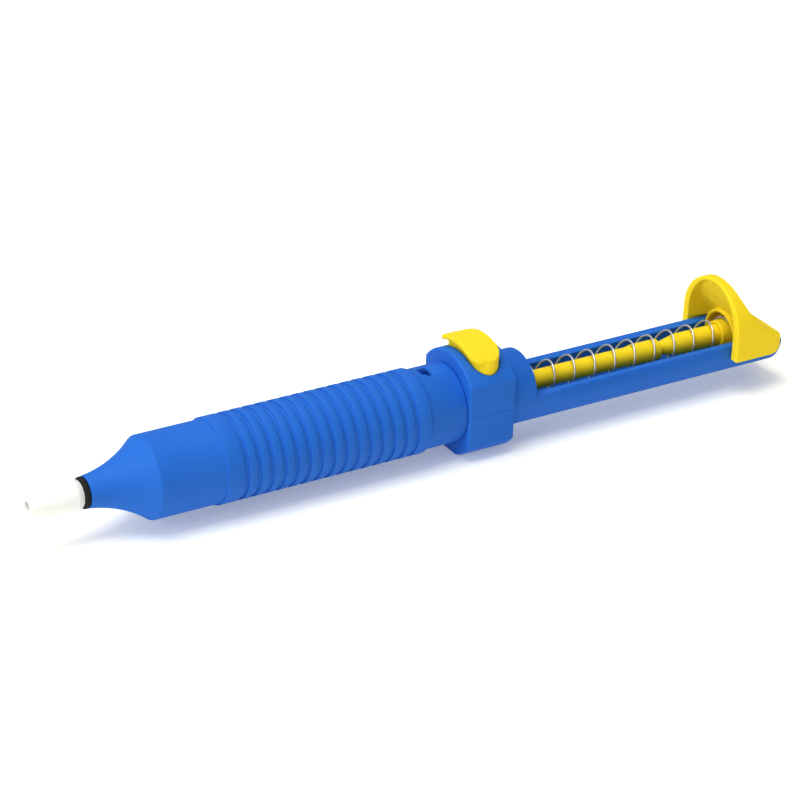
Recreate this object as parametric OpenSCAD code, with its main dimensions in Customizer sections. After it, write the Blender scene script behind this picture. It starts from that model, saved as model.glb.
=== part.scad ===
// Desoldering pump: a spring-loaded vacuum hand tool.
// The axis of the tool runs along X with the nozzle at -X and the thumb knob at +X.
// Stations along the axis are counted from the nozzle's tip, then everything is
// shifted so that X = 0 is the middle of the tool and Z = 0 is the collar's flat foot.

/* [Nozzle] */
// Radius of the nozzle's flat tip
nozzle_tip_r = 2.6; // [2.1:0.1:3.2]
// Largest radius of the nozzle, just ahead of its seal
nozzle_bulge_r = 4.2; // [3.8:0.1:5]
// Radius of the suction bore
nozzle_bore_r = 1.5; // [1:0.1:1.8]
// Length of the nozzle that stands out of the seal ring
nozzle_len = 14.1; // [10:0.1:20]
// Radius of the shank that plugs into the barrel
nozzle_shank_r = 3.15; // [2.8:0.05:3.4]
// Length of the shank inside the barrel
nozzle_shank_len = 11.8; // [8:0.1:13]
// Thickness of the seal ring's rubber
nozzle_ring_t = 1.5; // [1.2:0.1:2]

/* [Barrel] */
// Radius of the barrel's front edge
nose_tip_r = 4.1; // [3.8:0.1:5]
// Length of the flared nose
nose_len = 15.8; // [13:0.1:20]
// Radius of the arc that shapes the flare
nose_flare_r = 30; // [24:1:80]
// Radius of the smooth front of the barrel
nose_r = 10.85; // [10.5:0.05:14]
// Length of the smooth front of the barrel
smooth_len = 17.95; // [12:0.1:30]
// Radius over the grip's bands
grip_r = 11.3; // [11:0.05:15]
// Depth of the grooves between the bands
groove_depth = 0.5; // [0.3:0.05:0.7]
// Width of each groove
groove_w = 1.245; // [0.8:0.005:1.8]
// Width of the first band
first_band_w = 4.8; // [3:0.1:8]
// Width of each narrow band
band_w = 2.27; // [1.8:0.01:3.5]
// Number of narrow bands
band_count = 14; // [8:1:16]
// Width of the last band
last_band_w = 3.8; // [2.5:0.1:6]
// Radius of the barrel's tail, between the grip and the collar
tail_r = 10.65; // [10.4:0.05:14]
// Length of the tail
tail_len = 10.95; // [9:0.05:14]
// Radius of the cylinder bore
bore_r = 9; // [8.6:0.05:9.3]

/* [Bayonet] */
// Width along the axis of the locking lugs
lug_w = 1.6; // [1.2:0.1:1.8]
// Angle that each lug covers
lug_angle = 11; // [8:1:14]
// How far the barrel turns to unlock
unlock_angle = 10; // [6:1:12]
// How far a lug stands out of its sleeve
lug_height = 0.75; // [0.5:0.05:0.8]

/* [Collar] */
// Length of the collar along the axis
collar_len = 13.9; // [13.6:0.05:20]
// Radius of the collar's rounded top
collar_r = 14.25; // [13.8:0.05:18]
// Half the width across the collar's flat sides
collar_half_w = 11.3; // [11.1:0.05:13.7]
// Distance from the axis to the collar's flat foot
foot_drop = 13.4; // [13.2:0.1:13.7]
// Length of the sleeve that reaches into the barrel
sleeve_len = 13.4; // [11.5:0.1:16]
// Wall thickness of the sleeve
sleeve_wall = 2.2; // [1.5:0.1:3]
// Length of the round shoulder behind the collar
shoulder_len = 7.9; // [4:0.1:10]

/* [Rail channel] */
// Outer radius of the half-round rail channel
rail_r = 9.9; // [9.4:0.05:10.1]
// Wall thickness of the channel
rail_wall = 2.8; // [2.2:0.05:3]
// Height of the rails' top faces above the axis
rail_top = 0.85; // [0:0.05:1.2]
// Length of the open channel behind the shoulder
rail_len = 79.25; // [78:0.25:95]

/* [Plunger] */
// Radius of the rod's front length
rod_r = 2.55; // [2.2:0.05:2.7]
// Radius of the rod's rear length
rod_thick_r = 2.9; // [2.8:0.05:3.1]
// Radius of the latch notch's waist
notch_r = 1.8; // [1.5:0.05:2.1]
// Travel of the plunger, from released to loaded
stroke = 60.6; // [45:0.1:61.5]
// Length of the piston's full-width part
piston_len = 5.8; // [5:0.1:8]
// Thickness of the rubber bumper behind the piston
bumper_t = 2.6; // [1.5:0.1:4]
// Rubber thickness of the piston's seal ring
piston_ring_t = 1.6; // [1.2:0.1:2]
// Radius of the steel cleaning pin
pin_r = 0.7; // [0.4:0.05:0.9]
// How far the cleaning pin pokes out of the nozzle when loaded
pin_poke = 0.8; // [0.2:0.1:2]

/* [Knob] */
// Half the width of the knob
knob_half_w = 12.6; // [12:0.1:14]
// Height of the centre of the knob's arch above the axis
knob_arch_z = 4.25; // [3:0.05:7]
// Depth of the knob's skirts below the axis
knob_skirt = 2.8; // [1.5:0.1:4]
// Length of the knob along the axis
knob_len = 14.6; // [13.5:0.1:17]
// Radius of the saddle that the thumb presses
saddle_r = 17.8; // [16:0.1:24]
// Thickness of the plate at the knob's top
knob_plate_t = 2.8; // [2:0.1:4]
// Depth of the dish in the knob's front face
dish_depth = 3.05; // [1.5:0.05:3.6]
// Width of the flat rim round the dish
dish_rim = 1.5; // [1:0.1:2.5]
// Clearance between the rod's hub and the inside of the main spring
hub_gap = 0.2; // [0.1:0.05:0.4]
// How far the hub stands back from the knob's front rim
hub_setback = 1.8; // [1:0.1:2.6]
// Outer radius of the spring pocket
pocket_r = 6.1; // [5.6:0.05:6.2]
// Distance from the knob's front rim to the pocket's floor
pocket_depth = 7.2; // [5:0.1:8]

/* [Trigger] */
// Width of the trigger's slot along the axis
slot_w = 8.4; // [7.4:0.1:9]
// How far the slot reaches from the axis to the right side of the tool
slot_right = 9.7; // [8.6:0.1:10]
// How far the slot reaches from the axis to the left side of the tool
slot_left = 8.2; // [7.8:0.1:10]
// Distance from the collar's front face to the slot
slot_setback = 2.9; // [2.4:0.1:3]
// How far the trigger stands out of the collar's rounded top
trigger_rise = 2.95; // [2.8:0.05:4]
// How far the trigger's lip juts forward
lip_reach = 1.5; // [0.8:0.1:2]
// Thickness of the lip
lip_t = 1.1; // [0.8:0.1:1.1]
// Travel of the trigger
trigger_travel = 1.6; // [1.2:0.1:1.6]
// Thickness of the latch blade
blade_t = 2; // [1.5:0.1:2.5]

/* [Springs] */
// Outer radius of the main spring
spring_r = 4.6; // [4.45:0.05:5.3]
// Wire thickness of the main spring
wire_t = 0.6; // [0.5:0.05:0.7]
// Pitch of the main spring's open turns
spring_pitch = 6.42; // [5:0.01:8]
// Outer radius of the trigger's return spring
return_r = 2.4; // [1.8:0.1:3]
// Wire thickness of the return spring
return_wire_t = 0.4; // [0.3:0.05:0.5]

/* [Hidden] */
$fn = 96;

blue = "royalblue";
yellow = "gold";
rubber = "dimgray";
steel = "silver";

// Clearances
running_gap = 0.05;  // round parts that turn or slide in each other
side_gap = 0.3;      // moving parts that pass each other
slot_gap = 0.2;      // the trigger in its slot
seal_gap = 0.03;     // the piston's seal in the bore
face_gap = 0.1;      // faces that meet end to end
cut = 1;             // how far a cutting shape runs past what it cuts

// Stations along the axis
nose_x = nozzle_len + nozzle_ring_t;
flare_x = nose_x + nose_len;
grip_x = flare_x + smooth_len;
bands_x = grip_x + first_band_w + groove_w;
last_band_x = bands_x + band_count * (band_w + groove_w);
tail_x = last_band_x + last_band_w;
barrel_end_x = tail_x + tail_len;
collar_x = barrel_end_x + face_gap;
slot_x = collar_x + slot_setback;
blade_x = slot_x + slot_w / 2;
collar_end_x = collar_x + collar_len;
shoulder_end_x = collar_end_x + shoulder_len;
rail_end_x = shoulder_end_x + rail_len;
sleeve_x = collar_x - sleeve_len;
overall_len = rail_end_x;

// The plunger's stations, in the released position
bumper_x = sleeve_x - running_gap - bumper_t;
piston_x = bumper_x - piston_len;
piston_boss_len = 2;
pin_x = stroke - pin_poke;
notch_x = blade_x - blade_t / 2 + stroke - 0.4;
notch_flat = 1;
notch_cone = 5.2;
thick_len = 7.7;
lead_cone = 1.7;
knob_x = shoulder_end_x + stroke + 1.5;
pocket_x = knob_x + pocket_depth;
knob_end_x = knob_x + knob_len;
rod_end_x = pocket_x + 2.6;

// Inside of the barrel
nose_bore_r = nozzle_shank_r + running_gap;
shank_end_x = nose_x + nozzle_shank_len;
throat_r = 2.3;
throat_len = 1.5;
chamber_cone = 7;
chamber_x = shank_end_x + throat_len + chamber_cone;

// Inside of the collar
guide_r = rod_thick_r + running_gap;
sleeve_r = bore_r - running_gap;
blade_half_w = 7.2;
blade_drop = 6.6;
well_half_w = blade_half_w + side_gap;
well_floor = 10.6;
spring_hole_r = rail_r - rail_wall;
key_half_w = rod_thick_r + slot_gap;
key_drop = rod_thick_r + 0.15;
button_floor = rod_thick_r + trigger_travel + side_gap;
trigger_top_r = collar_r + trigger_rise;

// Knob
hub_r = spring_r - wire_t - hub_gap;
arch_rim_r = knob_half_w - dish_rim;
dish_r = (arch_rim_r * arch_rim_r + dish_depth * dish_depth) / (2 * dish_depth);
knob_top = knob_arch_z + knob_half_w;
saddle_z = knob_top + 3.55;
saddle_x = knob_x + knob_plate_t + sqrt(saddle_r * saddle_r - 3.55 * 3.55);
tail_round = 2.2;
skirt_round = 2.5;
saddle_end_z = saddle_z - sqrt(saddle_r * saddle_r - pow(saddle_x - knob_end_x + tail_round, 2));
slider_r = spring_hole_r - side_gap;
slider_x = knob_x + 4.6;
slider_len = 8.6;

// Bayonet: angles are measured from +Z towards -Y
lug_start = 2;
window_start = lug_start - unlock_angle - 1;
window_angle = lug_angle + unlock_angle + 1.5;
window_x = tail_x + 2.3;
window_w = lug_w + 0.9;
lug_x = window_x + 0.2;
lug_r = sleeve_r + lug_height;
keyway_r = lug_r + 0.15;
keyway_angle = lug_angle + 1;
keyway_start = window_start + 0.2;

// Points of an arc from a to b that bulges towards the axis, n steps
function arc_between(a, b, r, n) =
    let (
        d = b - a,
        h = norm(d) / 2,
        k = sqrt(r * r - h * h),
        c = (a + b) / 2 + k * [-d[1], d[0]] / (2 * h),
        s = atan2(a[1] - c[1], a[0] - c[0]),
        e = atan2(b[1] - c[1], b[0] - c[0])
    )
    [for (i = [0:n]) c + r * [cos(s + (e - s) * i / n), sin(s + (e - s) * i / n)]];

// A quarter round from [x, r] of radius q, turning from outwards to backwards
function round_in(x, r, q, n) =
    [for (i = [0:n]) [x + q * sin(90 * i / n), r - q + q * cos(90 * i / n)]];

function round_out(x, r, q, n) =
    [for (i = [0:n]) [x + q * (1 - cos(90 * i / n)), r + q * sin(90 * i / n)]];

// Puts the tool's stations into the part's frame
module place() {
    translate([-overall_len / 2, 0, foot_drop]) children();
}

// Turns points [station, radius] about the axis, through an angle from start
module turned(points, start = 0, angle = 360) {
    rotate([90, 0, 90]) rotate([0, 0, 90 + start])
        rotate_extrude(angle = angle) polygon([for (p = points) [p[1], p[0]]]);
}

// A round bar or bore along the axis
module bar(x0, x1, r) {
    translate([x0, 0, 0]) rotate([0, 90, 0]) cylinder(h = x1 - x0, r = r);
}

// Extrudes an outline drawn in Y and Z along the axis
module along(x0, x1) {
    translate([x0, 0, 0]) rotate([90, 0, 90]) linear_extrude(x1 - x0) children();
}

// Extrudes an outline drawn in X and Z to both sides of the axis
module across(half) {
    rotate([90, 0, 0]) linear_extrude(2 * half, center = true) children();
}

// What is cut from an outer corner to round it; the arc's centre is the origin
module corner(r) {
    difference() {
        square(r + cut);
        circle(r = r);
    }
}

// A box from its lowest to its highest corner
module block(low, high) {
    translate(low) cube(high - low);
}

module tube(x0, x1, outer, inner) {
    difference() {
        bar(x0, x1, outer);
        bar(x0 - cut, x1 + cut, inner);
    }
}

module barrel() {
    groove_r = grip_r - groove_depth;
    outside = concat(
        [[nose_x, nose_tip_r]],
        arc_between([nose_x + 0.2, nose_tip_r + 0.1], [flare_x, nose_r], nose_flare_r, 14),
        [[grip_x, nose_r], [grip_x, grip_r], [grip_x + first_band_w, grip_r]],
        [[grip_x + first_band_w, groove_r]],
        [for (i = [0:band_count - 1], p = [
            [0, groove_r], [0, grip_r], [band_w, grip_r], [band_w, groove_r]
        ]) [bands_x + i * (band_w + groove_w) + p[0], p[1]]],
        [[last_band_x, groove_r], [last_band_x, grip_r], [tail_x, grip_r]],
        [[tail_x, tail_r], [barrel_end_x, tail_r]]
    );
    inside = [
        [barrel_end_x, bore_r], [chamber_x, bore_r], [chamber_x - chamber_cone, throat_r],
        [shank_end_x, throat_r], [shank_end_x, nose_bore_r], [nose_x, nose_bore_r]
    ];
    color(blue) place() difference() {
        turned(concat(outside, inside));
        for (side = [0, 180]) {
            // window over the lug
            turned([
                [window_x, bore_r - cut], [window_x, grip_r + cut],
                [window_x + window_w, grip_r + cut], [window_x + window_w, bore_r - cut]
            ], side + window_start, window_angle);
            // keyway that lets the lug in from the barrel's end
            turned([
                [window_x + window_w / 2, bore_r - cut], [window_x + window_w / 2, keyway_r],
                [barrel_end_x + cut, keyway_r], [barrel_end_x + cut, bore_r - cut]
            ], side + keyway_start, keyway_angle);
        }
    }
}

module nozzle() {
    neck_r = nozzle_bulge_r - 1.6;
    tip_round = 0.5;
    bulge_x = nozzle_len - 2.2;
    color("white") place() turned(concat(
        [[0, nozzle_bore_r]],
        round_out(0, nozzle_tip_r - tip_round, tip_round, 5),
        round_in(bulge_x, nozzle_bulge_r, 1.2, 6),
        [[nozzle_len, nozzle_bulge_r - 1.2], [nozzle_len, neck_r], [nose_x, neck_r]],
        [[nose_x, nozzle_shank_r], [shank_end_x, nozzle_shank_r], [shank_end_x, throat_r]],
        [[nozzle_len, throat_r], [nozzle_len - 3, nozzle_bore_r]]
    ));
}

// A seal ring of round section; middle is its station and inner its inside radius
module ring(middle, inner, t) {
    translate([middle, 0, 0]) rotate([0, 90, 0])
        rotate_extrude() translate([inner + t / 2, 0]) circle(d = t, $fn = 48);
}

module nozzle_seal_ring() {
    color(rubber) place() ring(nozzle_len + nozzle_ring_t / 2, nozzle_bulge_r - 1.6, nozzle_ring_t);
}

module collar_outline() {
    intersection() {
        circle(r = collar_r);
        translate([-collar_half_w, -foot_drop])
            square([2 * collar_half_w, foot_drop + collar_r]);
    }
}

// The trigger's slot or its button seen from above, shrunk all round by gap
module slot_plan(gap, left = slot_left) {
    r = slot_w / 2 - gap;
    near = slot_right - slot_w / 2;
    far = left - slot_w / 2;
    translate([0, -near]) circle(r = r);
    translate([0, far]) circle(r = r);
    translate([-r, -near]) square([2 * r, near + far]);
}

module rear_housing() {
    color(blue) place() difference() {
        union() {
            bar(sleeve_x, collar_x + cut, sleeve_r);
            along(collar_x, collar_end_x) collar_outline();
            bar(collar_end_x - cut, shoulder_end_x, rail_r);
            difference() {
                bar(shoulder_end_x - cut, rail_end_x, rail_r);
                block([shoulder_end_x, -2 * rail_r, rail_top],
                      [rail_end_x + cut, 2 * rail_r, 2 * rail_r]);
            }
            for (side = [0, 180])
                turned([
                    [lug_x, sleeve_r - 0.5], [lug_x, lug_r],
                    [lug_x + lug_w, lug_r], [lug_x + lug_w, sleeve_r - 0.5]
                ], side + lug_start, lug_angle);
        }
        bar(sleeve_x - cut, collar_x, sleeve_r - sleeve_wall);
        bar(collar_x - cut, collar_end_x + cut, guide_r);
        bar(collar_end_x, rail_end_x + cut, spring_hole_r);
        translate([blade_x, 0, 0]) linear_extrude(collar_r + cut) slot_plan(0);
        block([slot_x + slot_gap, -well_half_w, -well_floor],
              [slot_x + slot_w - slot_gap, well_half_w, cut]);
    }
}

module trigger() {
    color(yellow) place() difference() {
        union() {
            intersection() {
                translate([blade_x, 0, button_floor])
                    linear_extrude(trigger_top_r) slot_plan(slot_gap);
                bar(collar_x - cut, collar_end_x, trigger_top_r);
            }
            // lip that juts out over the collar's front
            intersection() {
                translate([blade_x - lip_reach, 0, button_floor])
                    linear_extrude(trigger_top_r) slot_plan(slot_gap + 0.3, slot_left + lip_reach);
                tube(collar_x - cut, blade_x, trigger_top_r, trigger_top_r - lip_t);
            }
            block([blade_x - blade_t / 2, -blade_half_w, -blade_drop],
                  [blade_x + blade_t / 2, blade_half_w, button_floor + cut]);
        }
        // keyhole that the rod runs through
        block([blade_x - blade_t, -key_half_w, -key_drop],
              [blade_x + blade_t, key_half_w, button_floor]);
    }
}

module plunger_rod() {
    thick_x = notch_x - thick_len;
    cone_x = notch_x + notch_flat;
    color(yellow) place() turned([
        [piston_x + 1, 0], [piston_x + 1, rod_r], [thick_x - lead_cone, rod_r],
        [thick_x, rod_thick_r], [notch_x, rod_thick_r], [notch_x, notch_r],
        [cone_x, notch_r], [cone_x + notch_cone, rod_thick_r],
        [rod_end_x, rod_thick_r], [rod_end_x, 0]
    ]);
}

module arch_outline() {
    translate([0, knob_arch_z]) circle(r = knob_half_w);
    translate([-knob_half_w, -knob_skirt])
        square([2 * knob_half_w, knob_arch_z + knob_skirt]);
}

module thumb_knob() {
    slot_r = rail_r + side_gap;
    color(yellow) place() difference() {
        union() {
            difference() {
                along(knob_x, knob_end_x) difference() {
                    arch_outline();
                    translate([-2 * knob_half_w, -4 * knob_half_w - knob_skirt])
                        square(4 * knob_half_w);
                }
                // dish in the front face
                translate([knob_x + dish_depth - dish_r, 0, knob_arch_z]) sphere(r = dish_r);
                // saddle for the thumb, and the rounded corners behind it
                across(2 * knob_half_w) {
                    translate([saddle_x, saddle_z]) circle(r = saddle_r);
                    translate([knob_end_x - tail_round, saddle_end_z - tail_round])
                        corner(tail_round);
                    translate([knob_end_x - skirt_round, skirt_round - knob_skirt])
                        mirror([0, 1]) corner(skirt_round);
                }
            }
            difference() {
                bar(slider_x, slider_x + slider_len, slider_r);
                block([knob_x, -slot_r, 0], [knob_end_x + cut, slot_r, slot_r]);
            }
            bar(knob_x + hub_setback, rod_end_x, hub_r);
        }
        // room for the two rails
        difference() {
            bar(knob_x - cut, knob_end_x + cut, slot_r);
            bar(knob_x - 2 * cut, knob_end_x + 2 * cut, slider_r);
            block([knob_x - 3 * cut, -2 * slot_r, rail_top + side_gap],
                  [knob_end_x + 3 * cut, 2 * slot_r, 2 * slot_r]);
        }
        tube(knob_x - cut, pocket_x, pocket_r, hub_r);
        bar(knob_x - cut, rod_end_x, rod_thick_r);
    }
}

module piston() {
    piston_r = bore_r - 0.15;
    groove_x = piston_x + (piston_len - piston_ring_t) / 2 - 0.1;
    groove_floor = bore_r - seal_gap - piston_ring_t;
    boss_r = 3;
    color(yellow) place() turned([
        [piston_x - piston_boss_len, pin_r], [piston_x - piston_boss_len, boss_r - 0.5],
        [piston_x - piston_boss_len + 0.5, boss_r], [piston_x, boss_r],
        [piston_x, piston_r - 0.5], [piston_x + 0.5, piston_r], [groove_x, piston_r],
        [groove_x, groove_floor], [groove_x + piston_ring_t + 0.2, groove_floor],
        [groove_x + piston_ring_t + 0.2, piston_r], [piston_x + piston_len, piston_r],
        [piston_x + piston_len, rod_r], [piston_x + 1, rod_r], [piston_x + 1, pin_r]
    ]);
}

module piston_seal_ring() {
    color(rubber) place()
        ring(piston_x + piston_len / 2, bore_r - seal_gap - piston_ring_t, piston_ring_t);
}

module bumper_ring() {
    color(rubber) place() tube(bumper_x, bumper_x + bumper_t, sleeve_r - 1, rod_r);
}

module cleaning_pin() {
    tip = 0.4;
    color(steel) place() turned([
        [pin_x, 0], [pin_x + tip, pin_r], [piston_x + 1, pin_r], [piston_x + 1, 0]
    ]);
}

// A coil spring swept along a helix; h(u) is the height after u turns
module coil(heights, turns, r, t, phase) {
    steps = len(heights) - 1;
    sides = 6;
    points = [for (i = [0:steps], s = [0:sides - 1])
        let (
            a = phase + 360 * turns * i / steps,
            q = r + t / 2 * cos(360 * s / sides)
        )
        [q * cos(a), q * sin(a), heights[i] + t / 2 * sin(360 * s / sides)]];
    walls = [for (i = [0:steps - 1], s = [0:sides - 1])
        let (n = (s + 1) % sides)
        [i * sides + s, (i + 1) * sides + s, (i + 1) * sides + n, i * sides + n]];
    first = [for (s = [0:sides - 1]) s];
    last = [for (s = [sides - 1:-1:0]) steps * sides + s];
    polyhedron(points, concat([first, last], walls));
}

// Heights of a coil with one closed turn at each end and evenly open turns between
function coil_heights(length, turns, t, per_turn) =
    let (
        closed = 1.05 * t,
        open_pitch = (length - 2 * closed) / (turns - 2),
        steps = floor(turns * per_turn)
    )
    [for (i = [0:steps])
        let (u = turns * i / steps)
        u < 1 ? closed * u :
        u > turns - 1 ? length - closed * (turns - u) :
        closed + open_pitch * (u - 1)];

module main_spring() {
    x0 = collar_end_x + wire_t / 2 + face_gap / 2;
    length = pocket_x - wire_t / 2 - face_gap / 2 - x0;
    turns = length / spring_pitch + 2;
    color(steel) place() translate([x0, 0, 0]) rotate([90, 0, 90])
        coil(coil_heights(length, turns, wire_t, 16), turns, spring_r - wire_t / 2, wire_t, 204);
}

module trigger_spring() {
    z0 = -well_floor + return_wire_t / 2;
    length = well_floor - blade_drop - return_wire_t;
    turns = 5;
    color(steel) place() translate([blade_x, 0, z0])
        coil(coil_heights(length, turns, return_wire_t, 16), turns,
             return_r - return_wire_t / 2, return_wire_t, 0);
}

rear_housing();
barrel();
nozzle();
nozzle_seal_ring();
plunger_rod();
thumb_knob();
piston();
piston_seal_ring();
bumper_ring();
cleaning_pin();
trigger();
main_spring();
trigger_spring();
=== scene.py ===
"""Looks of a desoldering pump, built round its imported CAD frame.

The tool's axis runs along X with the nozzle at -X. It stands on the collar's flat foot at Z = 0.
Angles about the axis are counted from +Z towards -Y.
"""

import math

import bmesh
import bpy
from mathutils import Matrix, Vector


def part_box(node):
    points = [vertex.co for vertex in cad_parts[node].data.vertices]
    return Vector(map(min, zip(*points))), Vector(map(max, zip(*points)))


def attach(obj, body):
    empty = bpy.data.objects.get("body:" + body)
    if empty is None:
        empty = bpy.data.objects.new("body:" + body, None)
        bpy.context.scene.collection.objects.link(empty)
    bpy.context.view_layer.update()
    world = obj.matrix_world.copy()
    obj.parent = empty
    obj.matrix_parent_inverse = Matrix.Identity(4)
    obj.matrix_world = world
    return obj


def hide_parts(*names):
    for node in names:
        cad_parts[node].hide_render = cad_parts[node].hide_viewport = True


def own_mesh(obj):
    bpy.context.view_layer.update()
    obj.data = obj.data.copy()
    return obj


bl_info = {
    "name": "Desoldering Pump",
    "version": (1, 0, 0),
    "blender": (4, 5, 0),
    "location": "View3D > Sidebar > Pump",
    "description": "Builds a spring-loaded desoldering pump from its packed CAD frame",
    "category": "Object",
}

MM = 0.001

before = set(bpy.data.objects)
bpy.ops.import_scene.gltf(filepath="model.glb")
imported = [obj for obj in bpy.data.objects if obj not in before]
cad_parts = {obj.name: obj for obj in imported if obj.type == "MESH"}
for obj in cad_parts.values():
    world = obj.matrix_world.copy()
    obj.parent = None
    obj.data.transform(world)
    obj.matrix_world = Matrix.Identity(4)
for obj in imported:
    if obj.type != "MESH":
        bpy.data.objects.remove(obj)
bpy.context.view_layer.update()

# Places that the pieces are built from, read from the frame or measured from it
TIP_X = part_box("nozzle")[0].x
BARREL_X, BARREL_END_X = (corner.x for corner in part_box("barrel"))
AXIS_Z = (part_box("barrel")[0].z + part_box("barrel")[1].z) / 2
GRIP_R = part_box("barrel")[1].y
SLEEVE_X, RAIL_END_X = (corner.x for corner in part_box("rear_housing"))
FOOT_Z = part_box("rear_housing")[0].z
KNOB_X, KNOB_END_X = (corner.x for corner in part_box("thumb_knob"))
ROD_X, ROD_END_X = (corner.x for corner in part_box("plunger_rod"))
ROD_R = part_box("plunger_rod")[1].y
BLADE_X = (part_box("trigger_spring")[0].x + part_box("trigger_spring")[1].x) / 2
COLLAR_X = BARREL_END_X + 0.1 * MM
TAIL_X = BARREL_END_X - 10.95 * MM
SHANK_END_X = BARREL_X + 11.8 * MM

# Rounding inside a groove, depth and width of a plain rail's edge, and the sliding clearance
CREASE = 0.12 * MM
PLAIN_EDGE = (0.2 * MM, 0.15 * MM)
SLIDE_GAP = 0.3 * MM

# Pitch of a spring's closed end turns, in wire thicknesses
CLOSED_PITCH = 1.05


# ---- sizes and finishes -------------------------------------------------------------------


def size(name, value, description):
    """A length in metres, given in millimetres."""
    return bpy.props.FloatProperty(
        name=name, description=description, default=value * MM, min=0.0, precision=5,
        subtype="DISTANCE", unit="LENGTH",
    )


def angle(name, value, description):
    return bpy.props.FloatProperty(
        name=name, description=description, default=math.radians(value),
        subtype="ANGLE", unit="ROTATION",
    )


def colour(name, value, description):
    return bpy.props.FloatVectorProperty(
        name=name, description=description, default=value, size=4, min=0.0, max=1.0,
        subtype="COLOR",
    )


class PumpBarrelSizes(bpy.types.PropertyGroup):
    nose_len: size("Nose length", 15.8, "Length of the flared nose")
    nose_tip_r: size("Nose tip radius", 4.1, "Radius of the barrel's front edge")
    nose_r: size("Smooth radius", 10.85, "Radius of the smooth front of the barrel")
    flare_r: size("Flare arc", 30, "Radius of the hollow arc that shapes the nose")
    flare_soft: size("Flare shoulder", 1.1, "Rounding where the flare meets the smooth front")
    smooth_len: size("Smooth length", 17.95, "Length of the smooth front")
    first_band: size("First band", 4.8, "Width of the grip's first band")
    band: size("Band", 2.27, "Width of each narrow band")
    groove: size("Groove", 1.245, "Width of each groove")
    groove_depth: size("Groove depth", 0.5, "Depth of the grooves")
    tail_r: size("Tail radius", 10.65, "Radius behind the grip")
    bore_r: size("Bore radius", 9, "Radius of the cylinder bore")
    bands: bpy.props.IntProperty(
        name="Bands", description="Number of narrow bands", default=14, min=1, max=30)


class PumpNozzleSizes(bpy.types.PropertyGroup):
    tip_r: size("Tip radius", 2.6, "Radius of the flat tip")
    bulge_r: size("Bulge radius", 4.2, "Largest radius, just ahead of the seal ring")
    bore_r: size("Bore radius", 1.5, "Radius of the suction bore")
    neck_r: size("Neck radius", 2.6, "Radius of the neck that carries the seal ring")
    ring_t: size("Seal ring", 1.5, "Thickness of the seal ring's rubber")


class PumpHousingSizes(bpy.types.PropertyGroup):
    collar_len: size("Collar length", 13.9, "Length of the collar")
    collar_r: size("Collar radius", 14.25, "Radius of the collar's rounded top")
    collar_half_w: size("Collar half width", 11.3, "Half the width across the flat sides")
    collar_rim: size("Collar rim", 0.7, "Rounding of the collar's front and rear edges")
    collar_corner: size("Collar corner", 0.5, "Rounding where the flat sides meet the top")
    shoulder_len: size("Shoulder length", 7.9, "Length of the round shoulder")
    rail_r: size("Rail radius", 9.9, "Outer radius of the shoulder and rail channel")
    rail_wall: size("Rail wall", 2.8, "Wall thickness of the channel")
    rail_top: size("Rail top", 0.85, "Height of the rails' tops above the axis")
    near_chamfer: size("Near chamfer", 1.9, "Depth of the chamfer along the right rail")
    chamfer_w: size("Chamfer width", 0.85, "Width of the chamfer along the right rail")
    sleeve_r: size("Sleeve radius", 8.95, "Radius of the sleeve inside the barrel")
    sleeve_wall: size("Sleeve wall", 2.2, "Wall thickness of the sleeve")
    guide_r: size("Guide radius", 2.95, "Radius of the rod's guide hole")


class PumpTriggerSizes(bpy.types.PropertyGroup):
    slot_w: size("Slot width", 8.4, "Width of the trigger's slot")
    slot_right: size("Slot right", 9.7, "Reach of the slot to the right side of the tool")
    slot_left: size("Slot left", 8.2, "Reach of the slot to the left side of the tool")
    top_r: size("Top radius", 17.2, "Radius of the trigger's top about the tool's axis")
    lip_reach: size("Lip reach", 1.5, "How far the lip juts forward")
    lip_t: size("Lip thickness", 1.1, "Thickness of the lip")
    gap: size("Gap", 0.2, "Clearance round the trigger in its slot")


class PumpKnobSizes(bpy.types.PropertyGroup):
    half_w: size("Half width", 12.6, "Half the width of the knob")
    arch_z: size("Arch height", 4.25, "Height of the arch's centre above the axis")
    skirt: size("Skirt", 2.8, "Depth of the skirts below the axis")
    saddle_r: size("Saddle radius", 15.0, "Radius of the saddle for the thumb")
    plate_t: size("Plate", 2.8, "Thickness of the plate at the top")
    dish_depth: size("Dish depth", 6.4, "Depth of the dish in the front face")
    dish_rim: size("Dish rim", 0.9, "Width of the rim over the dish")
    wall_t: size("Wall", 2.4, "Thickness of the walls outside the rails")
    front_rim: size("Front rim", 0.4, "Rounding of the front edge")
    pocket_r: size("Pocket radius", 5.9, "Outer radius of the spring pocket")
    pocket_setback: size("Pocket setback", 3.3, "How far the pocket's rim stands back")
    pocket_depth: size("Pocket depth", 7.2, "Depth of the spring pocket")
    hub_r: size("Hub radius", 3.8, "Radius of the hub that holds the rod")
    hub_setback: size("Hub setback", 1.8, "How far the hub stands back from the rim")


class PumpSpringSizes(bpy.types.PropertyGroup):
    coil_r: size("Coil radius", 4.6, "Outer radius of the main spring")
    wire: size("Wire", 0.6, "Wire thickness of the main spring")
    pitch: size("Pitch", 6.43, "Pitch of the open turns")
    lean: size("Lean", 2.1, "How far the open turns lean over along the axis")
    start: angle("Start", 218, "Angle about the axis at which the wire starts")
    return_r: size("Return radius", 2.4, "Outer radius of the trigger's return spring")
    return_wire: size("Return wire", 0.4, "Wire thickness of the return spring")


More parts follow.
